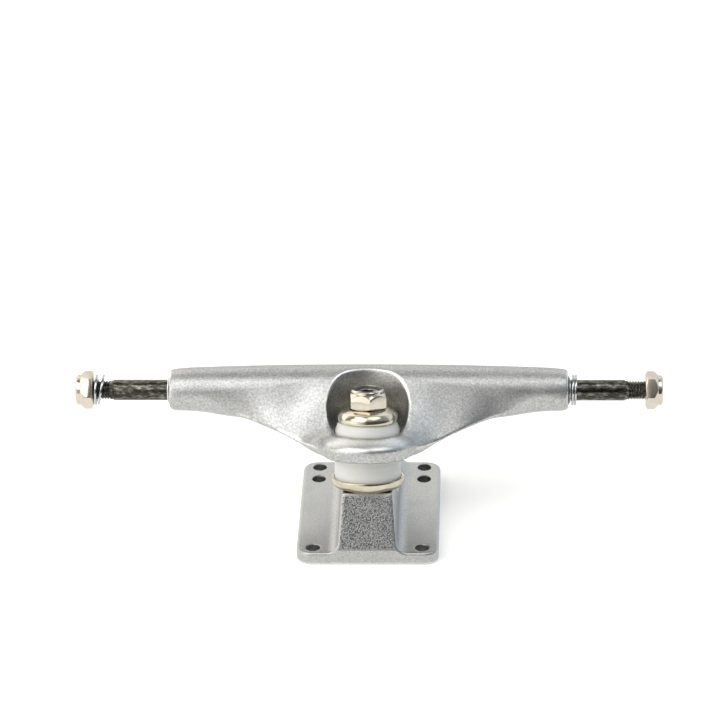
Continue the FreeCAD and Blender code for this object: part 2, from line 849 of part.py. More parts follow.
STATION_SHARES = (1.0, 0.93, 0.82, 0.70, 0.56, 0.45, 0.355, 0.26, 0.17, 0.0)
SHOULDER_ANGLES = (20, 20, 22, 26, 34, 41, 46, 50, 50, 50)
EDGE_TOP_ANGLES = (13, 12, 5, -14.7, -21.6, -22.7, -24.3, -20.8, -17.4, -16.7)
EDGE_TOP_SHARES = (1.0, 1.0, 1.0, 1.17, 1.61, 2.04, 2.43, 2.94, 3.29, 3.31)
EDGE_LOW_ANGLES = (-32, -34, -38, -25.9, -26, -26.2, -27.7, -26.2, -22.6, -21.8)
EDGE_LOW_SHARES = (1.0, 1.0, 1.0, 1.22, 1.64, 2.065, 2.47, 3.02, 3.34, 3.36)
BELLY_ANGLES = (-90, -88, -85, -70, -69, -64.4, -60.5, -53.7, -55, -55)
BELLY_SHARES = (1.0, 1.0, 1.0, 1.02, 0.98, 1.01, 1.08, 1.23, 1.27, 1.27)
RIM_LOW_ANGLES = (-120, -118, -117, -137.3, -131.9, -126, -122.5, -119.5, -117.5, -116.3)
RIM_LOW_SHARES = (1.0, 1.0, 1.0, 1.22, 1.32, 1.57, 1.80, 2.01, 2.24, 2.32)
RIM_BACK_ANGLES = (-145, -145, -145, -148, -144.4, -138.8, -134.5, -130.6, -128, -127.1)
RIM_BACK_SHARES = (1.0, 1.0, 1.0, 1.31, 1.42, 1.66, 1.88, 2.11, 2.34, 2.42)
WEB_TOP_ANGLES = (-165, -166, -170, -167.7, -165, -163, -162, -161, -161, -161)
WEB_TOP_SHARES = (1.0, 1.0, 1.0, 1.0, 1.0, 1.0, 0.99, 0.98, 0.98, 0.98)
FRONT_BULGE_SHARES = (0.015, 0.015, 0.03, 0.03, 0.01, -0.02, -0.03, -0.03, -0.02, -0.02)
EDGE_BULGE_SHARES = (0.1, 0.1, 0.09, 0.2, 0.25, 0.25, 0.2, 0.15, 0.15, 0.15)
RIM_BULGE_SHARES = (0.055, 0.055, 0.06, 0.2, 0.25, 0.25, 0.25, 0.25, 0.25, 0.25)
WEB_BULGE_SHARES = (0.044, 0.045, 0.05, 0.02, 0.0, 0.0, 0.0, 0.0, 0.0, 0.0)


def barrel_radius(along):
    """The barrel swells quickly behind each end, then gently to the middle."""
    shoulder = size("hanger_width") / 2 - size("barrel_shoulder_length")
    if along > shoulder:
        turn = math.pi / 2 * (1 - (along - shoulder) / size("barrel_shoulder_length"))
        gain = size("barrel_shoulder_radius") - size("barrel_end_radius")
        return size("barrel_end_radius") + gain * math.sin(turn)
    gain = size("barrel_middle_radius") - size("barrel_shoulder_radius")
    return size("barrel_shoulder_radius") + gain * (1 - (along / shoulder) ** 2)


def through(start, middle, end):
    """A smooth curve that passes the middle point halfway."""
    curve = Part.BezierCurve()
    curve.setPoles([start, middle * 2 - (start + end) * 0.5, end])
    return curve.toShape()


def wing_section(along, number):
    radius = barrel_radius(abs(along))

    def place(angle, share):
        turn = math.radians(angle)
        ahead = radius * share * math.cos(turn)
        up = radius * share * math.sin(turn)
        return FreeCAD.Vector(along, size("axle_back") - ahead, size("axle_height") + up)

    def bulged(start, end, share):
        chord = end - start
        outward = FreeCAD.Vector(0, chord.z, -chord.y)
        return (start + end) * 0.5 + outward * share

    shoulder = place(SHOULDER_ANGLES[number], 1)
    top = place(90, 1)
    edge_top = place(EDGE_TOP_ANGLES[number], EDGE_TOP_SHARES[number])
    edge_low = place(EDGE_LOW_ANGLES[number], EDGE_LOW_SHARES[number])
    belly = place(BELLY_ANGLES[number], BELLY_SHARES[number])
    rim_low = place(RIM_LOW_ANGLES[number], RIM_LOW_SHARES[number])
    rim_back = place(RIM_BACK_ANGLES[number], RIM_BACK_SHARES[number])
    web_top = place(WEB_TOP_ANGLES[number], WEB_TOP_SHARES[number])
    return Part.Wire(
        [
            Part.Arc(web_top, top, shoulder).toShape(),
            through(shoulder, bulged(shoulder, edge_top, FRONT_BULGE_SHARES[number]), edge_top),
            through(edge_top, bulged(edge_top, edge_low, EDGE_BULGE_SHARES[number]), edge_low),
            through(edge_low, belly, rim_low),
            through(rim_low, bulged(rim_low, rim_back, RIM_BULGE_SHARES[number]), rim_back),
            through(rim_back, bulged(rim_back, web_top, WEB_BULGE_SHARES[number]), web_top),
        ]
    )


def make_wing():
    stations = [(share, number) for number, share in enumerate(STATION_SHARES)]
    mirrored = [(-share, number) for share, number in stations[:-1]]
    places = mirrored + stations[::-1]
    wires = [wing_section(share * half("hanger_width"), number) for share, number in places]
    wing = doc.addObject("Part::Feature", "hanger_wing")
    wing.Shape = Part.makeLoft(wires, True, False)
    return wing


hanger_wing = make_wing()

# Web: the flat back of the hanger narrows from the wing to the neck above the pivot. It
# runs straight from under the barrel to the neck's foot. Its outline is in shares of the
# hanger's half width and of the web's length.

RIM_OUTLINE_SHARES = (
    (0.355, 0.431),
    (0.26, 0.529),
    (0.17, 0.645),
    (0.118, 0.735),
    (0.085, 0.845),
)
FIELD_TIP_SHARE = 0.75
FIELD_OUTLINE_SHARES = (
    (0.56, 0.150),
    (0.45, 0.257),
    (0.355, 0.348),
    (0.26, 0.435),
    (0.17, 0.530),
    (0.105, 0.640),
    (0.065, 0.800),
)


WEB_TOP = FreeCAD.Vector(0, size("web_top_y"), size("web_top_z"))
WEB_RUN = FreeCAD.Vector(0, size("neck_foot_y"), size("neck_foot_z")) - WEB_TOP
WEB_DOWN = FreeCAD.Vector(WEB_RUN).normalize()
WEB_OUT = FreeCAD.Vector(0, -WEB_DOWN.z, WEB_DOWN.y)


def web_place(across, down, back=0):
    """A point on the flat back: down along it from its top, and back off it."""
    return WEB_TOP + FreeCAD.Vector(across, 0, 0) + WEB_DOWN * down + WEB_OUT * back


def web_slab(name, top, shares, tip, foot, front, depth):
    """A slab with the web's outline, from a distance off the flat back inwards."""
    length = WEB_RUN.Length
    wide = half("hanger_width")
    rows = [(x * wide, y * length) for x, y in shares] + [foot]
    right = [web_place(x, y, front) for x, y in rows]
    left = [web_place(-x, y, front) for x, y in rows]
    edges = []
    for points in (right, left[::-1]):
        curve = Part.BSplineCurve()
        curve.interpolate(points)
        edges.append(curve.toShape())
    right_top = web_place(tip, top, front)
    left_top = web_place(-tip, top, front)
    chain = [
        edges[0],
        Part.LineSegment(right[-1], left[-1]).toShape(),
        edges[1],
        Part.LineSegment(left[0], left_top).toShape(),
        Part.LineSegment(left_top, right_top).toShape(),
        Part.LineSegment(right_top, right[0]).toShape(),
    ]
    slab = doc.addObject("Part::Feature", name)
    slab.Shape = Part.Face(Part.Wire(chain)).extrude(
        web_place(0, 0, -depth) - web_place(0, 0, 0)
    )
    return slab


def make_web():
    web = web_slab(
        "hanger_web_blank",
        0 - size("overrun"),
        RIM_OUTLINE_SHARES,
        RIM_OUTLINE_SHARES[0][0] * half("hanger_width"),
        (half("neck_width"), WEB_RUN.Length),
        0,
        size("web_thickness"),
    )
    rim = [edge for edge in web.Shape.Edges if edge.Curve.TypeId == "Part::GeomBSplineCurve"]
    rounded = doc.addObject("Part::Feature", "hanger_web")
    rounded.Shape = web.Shape.makeFillet(size("web_rim_radius"), rim)
    field = web_slab(
        "hanger_web_field",
        size("web_field_depth") / 2,
        FIELD_OUTLINE_SHARES,
        FIELD_TIP_SHARE * half("hanger_width"),
        (half("neck_width") - size("web_rim_foot_width"), WEB_RUN.Length + size("overrun")),
        size("overrun"),
        size("overrun") + size("web_field_depth"),
    )
    return rounded, field


hanger_web, hanger_web_field = make_web()


def make_hanger():
    # What is cast on: the ring, the pivot nose, the machined end bosses and a small lip
    ring_low = doc.addObject("Part::Cone", "ring_low")
    on_kingpin(ring_low, "ring_bottom_level")
    bind(
        ring_low,
        Radius1="ring_radius - ring_draft",
        Radius2="ring_radius",
        Height="ring_parting_level - ring_bottom_level",
    )
    bead = doc.addObject("Part::Ellipsoid", "ring_bead")
    on_kingpin(bead, "ring_parting_level")
    bind(bead, Radius1="ring_crown_height", Radius2="ring_radius", Radius3="ring_radius")
    ring = doc.addObject("Part::Fuse", "ring_blank")
    ring.Base = ring_low
    ring.Tool = bead
    nose = doc.addObject("Part::Cylinder", "pivot_nose")
    on_pivot(nose)
    bind(nose, Radius="pivot_radius", Height="pivot_length")
    tip = doc.addObject("Part::Sphere", "pivot_tip")
    on_pivot(tip)
    bind(tip, Radius="pivot_radius")
    bosses = []
    for side_name, side_sign in SIDES:
        boss = doc.addObject("Part::Cylinder", "end_boss_" + side_name)
        on_axle(boss, "hanger_width / 2 - overrun", side_sign)
        bind(
            boss,
            Radius="axle_diameter / 2 + hanger_boss_wall",
            Height="hanger_boss_height + overrun",
        )
        bosses.append(boss)
    lip = doc.addObject("Part::Ellipsoid", "window_lip")
    bind(
        lip,
        Radius1="lip_height",
        Radius2="lip_width / 2",
        Radius3="lip_depth / 2",
        Placement__Base__y="axle_back - lip_forward",
        Placement__Base__z="axle_height + barrel_middle_radius + lip_rise - lip_height",
    )
    casting = doc.addObject("Part::MultiFuse", "hanger_casting")
    casting.Shapes = [hanger_wing, hanger_web, ring, nose, tip, lip] + bosses

    # What is left open: the window round the nut, the ring's hole and seats, the axle bore
    bowl = turned_body(
        "window_bowl",
        [
            ("0", "ring_top_level"),
            ("window_bottom_radius", "ring_top_level"),
            ("window_waist_radius", "window_waist_level"),
            ("window_radius", "kingpin_nut_level + lip_rise"),
            ("window_radius", "kingpin_nut_level + window_height"),
            ("0", "kingpin_nut_level + window_height"),
        ],
    )
    on_kingpin(bowl)
    # Its back is rounder than its sides, and stands up a little more than the kingpin leans
    back = doc.addObject("Part::Cylinder", "window_round_back")
    back.Placement = FreeCAD.Placement(
        FreeCAD.Vector(), FreeCAD.Rotation(FreeCAD.Vector(1, 0, 0), 1)
    )
    bind(
        back,
        Radius="window_back_radius",
        Height="window_height + kingpin_nut_level - ring_top_level + 2 * overrun",
        Placement__Base__y="0 - kingpin_foot_setback"
        + " + ring_top_level * sin( kingpin_tilt_angle )"
        + " - window_middle * cos( kingpin_tilt_angle )",
        Placement__Base__z="ring_top_level * cos( kingpin_tilt_angle )"
        + " + window_middle * sin( kingpin_tilt_angle ) - overrun",
        Placement__Rotation__Angle="0 - kingpin_tilt_angle - window_back_angle",
    )
    window = doc.addObject("Part::Common", "window")
    window.Base = bowl
    window.Tool = back
    hole = doc.addObject("Part::Cylinder", "ring_hole")
    on_kingpin(hole, "ring_bottom_level - overrun")
    bind(
        hole,
        Radius="kingpin_diameter / 2 + ring_hole_gap",
        Height="ring_top_level - ring_bottom_level + 2 * overrun",
    )
    lower = doc.addObject("Part::Cylinder", "lower_recess")
    on_kingpin(lower, "ring_bottom_level - overrun")
    bind(
        lower,
        Radius="board_side_bushing_diameter / 2 + bushing_clearance",
        Height="ring_lower_recess + overrun",
    )
    upper = doc.addObject("Part::Cylinder", "upper_recess")
    on_kingpin(upper, "ring_top_level - ring_upper_recess")
    bind(
        upper,
        Radius="road_side_bushing_diameter / 2 + bushing_clearance",
        Height="ring_upper_recess + overrun",
    )
    below = doc.addObject("Part::Cylinder", "below_ring")
    on_kingpin(below, "kingpin_seat_level")
    bind(
        below,
        Radius="ring_radius",
        Height="ring_bottom_level - kingpin_seat_level",
    )
    bore = doc.addObject("Part::Cylinder", "axle_bore")
    on_axle(bore, "0 - hanger_width")
    bind(bore, Radius="axle_diameter / 2 + axle_bore_clearance", Height="2 * hanger_width")
    openings = doc.addObject("Part::MultiFuse", "hanger_openings")
    openings.Shapes = [window, hole, lower, upper, below, bore, hanger_web_field]
    hanger = doc.addObject("Part::Cut", "hanger")
    hanger.Base = casting
    hanger.Tool = openings
    return hanger


hanger = make_hanger()

doc.recompute()

# Write each piece as its own file, once every object is sound

pieces = [
    baseplate,
    pivot_cup,
    kingpin,
    board_side_cup_washer,
    board_side_bushing,
    hanger,
    axle,
    road_side_bushing,
    road_side_cup_washer,
    kingpin_nut,
    kingpin_nut_insert,
]
pieces += nuts + speed_rings

for item in doc.Objects:
    if "Invalid" in item.State or "Error" in item.State:
        raise RuntimeError("%s failed to build" % item.Name)
for piece in pieces:
    piece.Label = piece.Name
    if piece.Shape.isNull() or not piece.Shape.isValid():
        raise RuntimeError("%s has no sound shape" % piece.Name)

os.makedirs("parts", exist_ok=True)
for piece in pieces:
    piece.Shape.exportStep("parts/%s.step" % piece.Label)
    print(piece.Label, len(piece.Shape.Solids), round(piece.Shape.Volume, 1))
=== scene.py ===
import json
import math

import bmesh
import bpy
from mathutils import Matrix, Vector
from mathutils.kdtree import KDTree


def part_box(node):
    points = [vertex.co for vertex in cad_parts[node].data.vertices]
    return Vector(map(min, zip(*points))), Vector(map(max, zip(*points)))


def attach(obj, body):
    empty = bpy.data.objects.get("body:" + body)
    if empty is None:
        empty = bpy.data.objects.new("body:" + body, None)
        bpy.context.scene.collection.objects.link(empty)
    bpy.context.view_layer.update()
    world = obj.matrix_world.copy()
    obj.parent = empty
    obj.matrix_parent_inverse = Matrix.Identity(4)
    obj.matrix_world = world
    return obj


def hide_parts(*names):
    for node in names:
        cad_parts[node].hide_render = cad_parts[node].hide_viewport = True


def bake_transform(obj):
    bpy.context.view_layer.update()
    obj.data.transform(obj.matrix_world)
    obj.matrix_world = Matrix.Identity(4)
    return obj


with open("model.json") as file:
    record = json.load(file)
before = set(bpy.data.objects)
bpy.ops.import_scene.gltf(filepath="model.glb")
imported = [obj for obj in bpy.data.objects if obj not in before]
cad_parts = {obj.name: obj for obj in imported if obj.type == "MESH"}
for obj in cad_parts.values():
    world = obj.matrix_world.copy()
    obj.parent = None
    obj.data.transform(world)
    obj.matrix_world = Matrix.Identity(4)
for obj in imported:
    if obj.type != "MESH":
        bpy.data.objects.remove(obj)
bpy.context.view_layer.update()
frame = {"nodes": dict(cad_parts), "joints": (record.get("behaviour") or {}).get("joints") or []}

# Base plate
# One aluminium casting: a flat plate that is bolted under the board, and a drafted
# pedestal on it. It is cast in a sand-textured mould, trimmed at its two ends and
# tumbled, so its edges and corners are soft and bright, with a painted highlight
# along them too, and its flats are dull.

MM = 0.001
plate_low, plate_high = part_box("baseplate")


def only(piece):
    """Leaves this piece alone selected, and active."""
    bpy.ops.object.select_all(action="DESELECT")
    piece.select_set(True)
    bpy.context.view_layer.objects.active = piece


def skin_of(node, name):
    """A copy of a CAD node's mesh, its loose triangles merged into one closed skin."""
    piece = bpy.data.objects.new(name, frame["nodes"][node].data.copy())
    bpy.context.collection.objects.link(piece)
    piece.data.materials.clear()
    only(piece)
    bpy.ops.mesh.customdata_custom_splitnormals_clear()
    bpy.ops.object.mode_set(mode="EDIT")
    bpy.ops.mesh.select_all(action="SELECT")
    bpy.ops.mesh.remove_doubles(threshold=0.001 * MM)
    bpy.ops.object.mode_set(mode="OBJECT")
    return piece


def finish_with(piece, kind, **settings):
    """Adds a modifier to a piece and applies it."""
    only(piece)
    modifier = piece.modifiers.new(kind.title(), kind)
    for key, value in settings.items():
        setattr(modifier, key, value)
    bpy.ops.object.modifier_apply(modifier=modifier.name)


def bent_edges(piece, least_angle, step):
    """Points along a piece's edges that bend by more than an angle, outer and inner ones."""
    mesh = bmesh.new()
    mesh.from_mesh(piece.data)
    outer, inner = [], []
    for edge in mesh.edges:
        if edge.is_manifold and edge.calc_face_angle(0) > least_angle:
            start, end = (vertex.co for vertex in edge.verts)
            count = max(1, math.ceil((end - start).length / step))
            kept = outer if edge.is_convex else inner
            kept += [start.lerp(end, number / count) for number in range(count + 1)]
    mesh.free()
    return outer, inner


def nearness(piece, points, reach):
    """How near each vertex is to the nearest of some points, from 1 on it to 0 at its reach."""
    if not points:
        return [0.0] * len(piece.data.vertices)
    tree = KDTree(len(points))
    for number, point in enumerate(points):
        tree.insert(point, number)
    tree.balance()
    return [max(0.0, 1 - tree.find(vertex.co)[2] / reach) for vertex in piece.data.vertices]


def recast(piece, grain):
    """Makes a piece one skin of even small facets, which the smoothing tools can work on."""
    finish_with(piece, "REMESH", mode="VOXEL", voxel_size=grain, use_smooth_shade=True)


def fill_hollows(piece, hollows, reach, rounds):
    """Fills inner corners with the broad fillets that a mould has."""
    group = piece.vertex_groups.new(name="hollows")
    for number, near in enumerate(nearness(piece, hollows, reach)):
        group.add([number], near, "REPLACE")
    finish_with(piece, "SMOOTH", factor=0.5, iterations=rounds, vertex_group="hollows")
    piece.vertex_groups.clear()


def tumble(piece, rounds):
    """Rounds all edges a little, as sand and tumbling stones leave them."""
    finish_with(piece, "SMOOTH", factor=0.5, iterations=rounds)


def keep(piece, name, shares):
    """Keeps a share from 0 to 1 on each vertex, for the material to read."""
    piece.data.attributes.new(name, "FLOAT", "POINT").data.foreach_set("value", shares)


def ramp(value, low, high):
    """0 below low, 1 above high, and straight between them."""
    return min(1.0, max(0.0, (value - low) / (high - low)))


def colour(code):
    """The linear colour of an sRGB hex code."""
    channels = [int(code[place:place + 2], 16) / 255 for place in (0, 2, 4)]
    return [c / 12.92 if c <= 0.04045 else ((c + 0.055) / 1.055) ** 2.4 for c in channels] + [1]


def add(material, kind, inputs=None, **settings):
    """Adds a node to a material. Each input is a value, or the output that is linked to it."""
    node = material.node_tree.nodes.new(kind)
    for key, value in settings.items():
        setattr(node, key, value)
    for key, value in (inputs or {}).items():
        if isinstance(value, bpy.types.NodeSocket):
            material.node_tree.links.new(value, node.inputs[key])
        else:
            node.inputs[key].default_value = value
    return node


def start_material(name):
    """A material with its default nodes removed."""
    material = bpy.data.materials.new(name)
    material.use_nodes = True
    material.node_tree.nodes.clear()
    return material


def cast_aluminium(name, grain, relief, dull, bright):
    """Aluminium-silicon casting alloy, tumbled: a bright silver metal whose skin is broken
    up by grains of the mould, each of which glints or darkens. It is rubbed smooth and
    bright on the edges, and that brightening is also a painted highlight
    ("wear_and_highlight"), left as it came from the sand where the tumbling stones
    don't reach ("coarse"), and darkened with painted shade in tight gaps and under
    parts ("painted_shade")."""
    material = start_material(name)
    place = add(material, "ShaderNodeTexCoord").outputs["Object"]
    wear_and_highlight = add(material, "ShaderNodeAttribute", attribute_name="wear_and_highlight").outputs["Fac"]
    coarse = add(material, "ShaderNodeAttribute", attribute_name="coarse").outputs["Fac"]
    painted_shade = add(material, "ShaderNodeAttribute", attribute_name="painted_shade").outputs["Fac"]
    sand = add(material, "ShaderNodeTexNoise",
               {"Vector": place, "Scale": 1 / grain, "Detail": 3, "Roughness": 0.6})
    clouds = add(material, "ShaderNodeTexNoise",
                 {"Vector": place, "Scale": 1 / (9 * MM), "Detail": 2, "Roughness": 0.5})
    speckle = add(material, "ShaderNodeMapRange",
                  {"Value": sand.outputs["Fac"], "From Min": 0.36, "From Max": 0.64})
    tint = add(material, "ShaderNodeMix",
               {"Factor": speckle.outputs["Result"], "A": colour(dull), "B": colour(bright)},
               data_type="RGBA")
    # Grains of coarse moulding sand, about 0.5 mm across, which leave winding ridges
    ridges = add(material, "ShaderNodeTexNoise",
                 {"Vector": place, "Scale": 1 / (0.54 * MM), "Detail": 1, "Roughness": 0.4})
    crest = add(material, "ShaderNodeMapRange",
                {"Value": ridges.outputs["Fac"], "From Min": 0.36, "From Max": 0.64})
    rough_tint = add(material, "ShaderNodeMix",
                     {"Factor": crest.outputs["Result"], "A": colour("646568"),
                      "B": colour("aeafae")}, data_type="RGBA")
    # The coarse field frays out at its border, crest by crest
    frayed = add(material, "ShaderNodeMath",
                 {0: crest.outputs["Result"], 1: -0.6, 2: coarse}, operation="MULTIPLY_ADD")
    field = add(material, "ShaderNodeMapRange",
                {"Value": frayed.outputs["Value"], "From Min": 0.0, "From Max": 0.4})
    cast = add(material, "ShaderNodeMix",
               {"Factor": field.outputs["Result"], "A": tint.outputs["Result"],
                "B": rough_tint.outputs["Result"]}, data_type="RGBA")
    # The edges are brightened towards eeeeea: wear, and a painted highlight along them
    rubbed = add(material, "ShaderNodeMix",
                 {"Factor": wear_and_highlight, "A": cast.outputs["Result"], "B": colour("eeeeea")},
                 data_type="RGBA")
    # Painted shade: the colour is darkened towards near black where shade is painted on
    shaded_tint = add(material, "ShaderNodeMix",
                {"Factor": painted_shade, "A": rubbed.outputs["Result"], "B": colour("1f1e1a")},
                data_type="RGBA")
    shade = add(material, "ShaderNodeMapRange",
                {"Value": clouds.outputs["Fac"], "From Min": 0.3, "From Max": 0.7,
                 "To Min": 0.36, "To Max": 0.46})
    smooth = add(material, "ShaderNodeMapRange", {"Value": wear_and_highlight, "To Min": 1.0, "To Max": 0.5})
    gloss = add(material, "ShaderNodeMath",
                {0: shade.outputs["Result"], 1: smooth.outputs["Result"]}, operation="MULTIPLY")
    height = add(material, "ShaderNodeMapRange",
                 {"Value": wear_and_highlight, "To Min": relief, "To Max": relief * 0.25})
    dents = add(material, "ShaderNodeMath",
                {0: sand.outputs["Fac"], 1: height.outputs["Result"]}, operation="MULTIPLY")
    deep = add(material, "ShaderNodeMath",
               {0: field.outputs["Result"], 1: 0.07 * MM}, operation="MULTIPLY")
    grooves = add(material, "ShaderNodeMath",
                  {0: crest.outputs["Result"], 1: deep.outputs["Value"],
                   2: dents.outputs["Value"]}, operation="MULTIPLY_ADD")
    skin = add(material, "ShaderNodeBump",
               {"Height": grooves.outputs["Value"], "Strength": 1.0, "Distance": 1.0})
    metal = add(material, "ShaderNodeBsdfPrincipled",
                {"Base Color": shaded_tint.outputs["Result"], "Metallic": 1.0,
                 "Roughness": gloss.outputs["Value"], "Normal": skin.outputs["Normal"]})
    add(material, "ShaderNodeOutputMaterial", {"Surface": metal.outputs["BSDF"]})
    return material


nut_turn = next(joint for joint in frame["joints"] if joint["name"] == "kingpin_nut_turn")
kingpin_axis = Vector(nut_turn["axis"]).normalized()
if kingpin_axis.z < 0:
    kingpin_axis.negate()
kingpin_stand = Matrix.Translation(nut_turn["pos_m"]) @ kingpin_axis.to_track_quat(
    "Z", "Y").to_matrix().to_4x4()
kingpin_floor = kingpin_stand.inverted()

base_casting = skin_of("baseplate", "base_plate_casting")
base_edges, base_hollows = bent_edges(base_casting, math.radians(28), 0.3 * MM)
recast(base_casting, 0.45 * MM)
fill_hollows(base_casting, base_hollows, 2 * MM, 6)
tumble(base_casting, 3)


def bolt_distance(point):
    """How far a point is from the middle of the nearest bolt hole."""
    hole_x = 20.64 * MM
    hole_rows = -31.75 * MM, 22.23 * MM, 31.75 * MM
    return min(math.hypot(abs(point.x) - hole_x, point.y - row) for row in hole_rows)


# Tumbling brightens the outer edges, and the brightening also paints highlight lines along them.
# It doesn't reach the drilled holes' rims
hole_reach = 3.4 * MM
edges_with_wear_and_highlight = [point for point in base_edges if bolt_distance(point) > hole_reach]
keep(base_casting, "wear_and_highlight", nearness(base_casting, edges_with_wear_and_highlight, 1.3 * MM))
# The pedestal's two slopes keep their sand, and the front one is smooth below the seat
slope_foot = plate_low.z + 6.2 * MM
slope_head = plate_low.z + 24.6 * MM


def slope_sand(vertex, rim):
    """How coarse a vertex is: fully so on a slope that faces forward or back, off its rim."""
    field = ramp(vertex.co.z, slope_foot, slope_foot + 1.6 * MM) * (1 - ramp(rim, 0.3, 0.55))
    if vertex.co.y < 0:
        field *= 1 - ramp(vertex.co.z, slope_head - 0.8 * MM, slope_head)
    return (field * ramp(abs(vertex.normal.y), 0.22, 0.3)
            * (1 - ramp(abs(vertex.normal.x), 0.2, 0.35)) * ramp(vertex.normal.z, 0.3, 0.4))


keep(base_casting, "coarse", [
    slope_sand(vertex, rim) for vertex, rim in zip(
        base_casting.data.vertices, nearness(base_casting, base_edges, 4.5 * MM))])
seat_radius = 12.9 * MM
seat_floor = 14 * MM


def painted_shade_at(vertex):
    """Painted shade: a dark ring on the seat under the lower washer, where its shadow falls, and
    darkening on the walls of the bolt holes.
    """
    reach = (kingpin_floor @ vertex.co).xy.length
    seat = (1 - ramp(reach, seat_radius - 1.5 * MM, seat_radius)) * ramp(
        vertex.normal.dot(kingpin_axis), 0.9, 0.97) * ramp(
        vertex.co.z, seat_floor, seat_floor + 2 * MM)
    wall = 1 - ramp(abs(vertex.normal.z), 0.3, 0.7)
    hole = wall if bolt_distance(vertex.co) < hole_reach else 0.0
    return max(0.6 * seat, 0.18 * hole)


# The painted shade is kept on each vertex, for the material to read
keep(base_casting, "painted_shade", [painted_shade_at(vertex) for vertex in base_casting.data.vertices])
base_casting.data.materials.append(
    cast_aluminium("tumbled_cast_aluminium_plate", 0.55 * MM, 0.05 * MM, "a6a7a8", "c2c2c0"))
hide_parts("baseplate")
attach(base_casting, "base")

# Pivot cup
# A flanged cup of black urethane, pressed into the socket of the base plate by hand. The
# hanger's nose turns in it, and only its flange shows.


def bevelled_copy(node, name, width, least_angle=30):
    """A copy of a CAD node whose sharp edges are broken by a small bevel."""
    piece = skin_of(node, name)
    finish_with(piece, "BEVEL", width=width, segments=2, limit_method="ANGLE",
                angle_limit=math.radians(least_angle))
    bpy.ops.object.shade_smooth_by_angle(angle=math.radians(least_angle))
    return piece


def black_urethane():
    """Cast polyurethane: a dense black rubber with a soft sheen and a faint haze."""
    material = start_material("black_cast_urethane")
    place = add(material, "ShaderNodeTexCoord").outputs["Object"]
    haze = add(material, "ShaderNodeTexNoise", {"Vector": place, "Scale": 1 / (0.8 * MM)})
    tint = add(material, "ShaderNodeMix",
               {"Factor": haze.outputs["Fac"], "A": colour("121314"), "B": colour("26282a")},
               data_type="RGBA")
    skin = add(material, "ShaderNodeBump",
               {"Height": haze.outputs["Fac"], "Strength": 0.4, "Distance": 0.02 * MM})
    rubber = add(material, "ShaderNodeBsdfPrincipled",
                 {"Base Color": tint.outputs["Result"], "Roughness": 0.55, "IOR": 1.5,
                  "Normal": skin.outputs["Normal"]})
    add(material, "ShaderNodeOutputMaterial", {"Surface": rubber.outputs["BSDF"]})
    return material


cup = bevelled_copy("pivot_cup", "pivot_cup_moulding", 0.15 * MM)
cup.data.materials.append(black_urethane())
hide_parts("pivot_cup")
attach(cup, "base")

# Kingpin
# A hollow steel bolt, pushed up through the pedestal from below. Its head sits in a
# counterbore, its shank carries the bushings, and its end is threaded for the nut.


def blackened_steel(name, dark, rubbed, wear):
    """Carbon steel with a black oxide finish: thin, oily and dark grey-brown, with a soft
    streak of light along a bar, and rubbed to grey metal in small patches."""
    material = start_material(name)
    place = add(material, "ShaderNodeTexCoord").outputs["Object"]
    along = add(material, "ShaderNodeMapping", {"Vector": place, "Scale": (0.35, 1.0, 1.0)})
    patches = add(material, "ShaderNodeTexNoise",
                  {"Vector": along.outputs["Vector"], "Scale": 1 / (1.0 * MM), "Detail": 4,
                   "Roughness": 0.65})
    grain = add(material, "ShaderNodeTexNoise",
                {"Vector": place, "Scale": 1 / (0.35 * MM), "Detail": 2})
    bare = add(material, "ShaderNodeMapRange",
               {"Value": patches.outputs["Fac"], "From Min": wear, "From Max": wear + 0.3})
    tint = add(material, "ShaderNodeMix",
               {"Factor": bare.outputs["Result"], "A": colour(dark), "B": colour(rubbed)},
               data_type="RGBA")
    gloss = add(material, "ShaderNodeMapRange",
                {"Value": grain.outputs["Fac"], "To Min": 0.14, "To Max": 0.3})
    skin = add(material, "ShaderNodeBump",
               {"Height": patches.outputs["Fac"], "Strength": 0.5, "Distance": 0.05 * MM})
    steel = add(material, "ShaderNodeBsdfPrincipled",
                {"Base Color": tint.outputs["Result"], "Metallic": 1.0,
                 "Roughness": gloss.outputs["Result"], "Normal": skin.outputs["Normal"]})
    add(material, "ShaderNodeOutputMaterial", {"Surface": steel.outputs["BSDF"]})
    return material


def roll_thread(piece, stand, radius, from_level, to_level, pitch, depth):
    """Sinks a helical groove into the shank of a piece between two levels of its axis. Its
    rows have to be finer than the pitch. The thread fades out over one turn at its start."""
    floor = stand.inverted()
    for vertex in piece.data.vertices:
        place = floor @ vertex.co
        across = place.xy.length
        if from_level < place.z < to_level and across > radius * 0.9:
            turn = math.atan2(place.y, place.x) / math.tau
            ridge = abs(2 * ((place.z / pitch - turn) % 1) - 1)
            fade = ramp(place.z, from_level, from_level + pitch)
            share = (across - depth * (1 - ridge) * fade) / across
            vertex.co = stand @ Vector((place.x * share, place.y * share, place.z))


def cut_rows(piece, stand, from_level, to_level, rows):
    """Cuts a turned piece across its axis into rows between two levels."""
    only(piece)
    bpy.ops.object.mode_set(mode="EDIT")
    for row in range(rows + 1):
        level = from_level + (to_level - from_level) * row / rows
        bpy.ops.mesh.select_all(action="SELECT")
        bpy.ops.mesh.bisect(plane_co=stand @ Vector((0, 0, level)),
                            plane_no=stand.to_3x3() @ Vector((0, 0, 1)))
    bpy.ops.object.mode_set(mode="OBJECT")


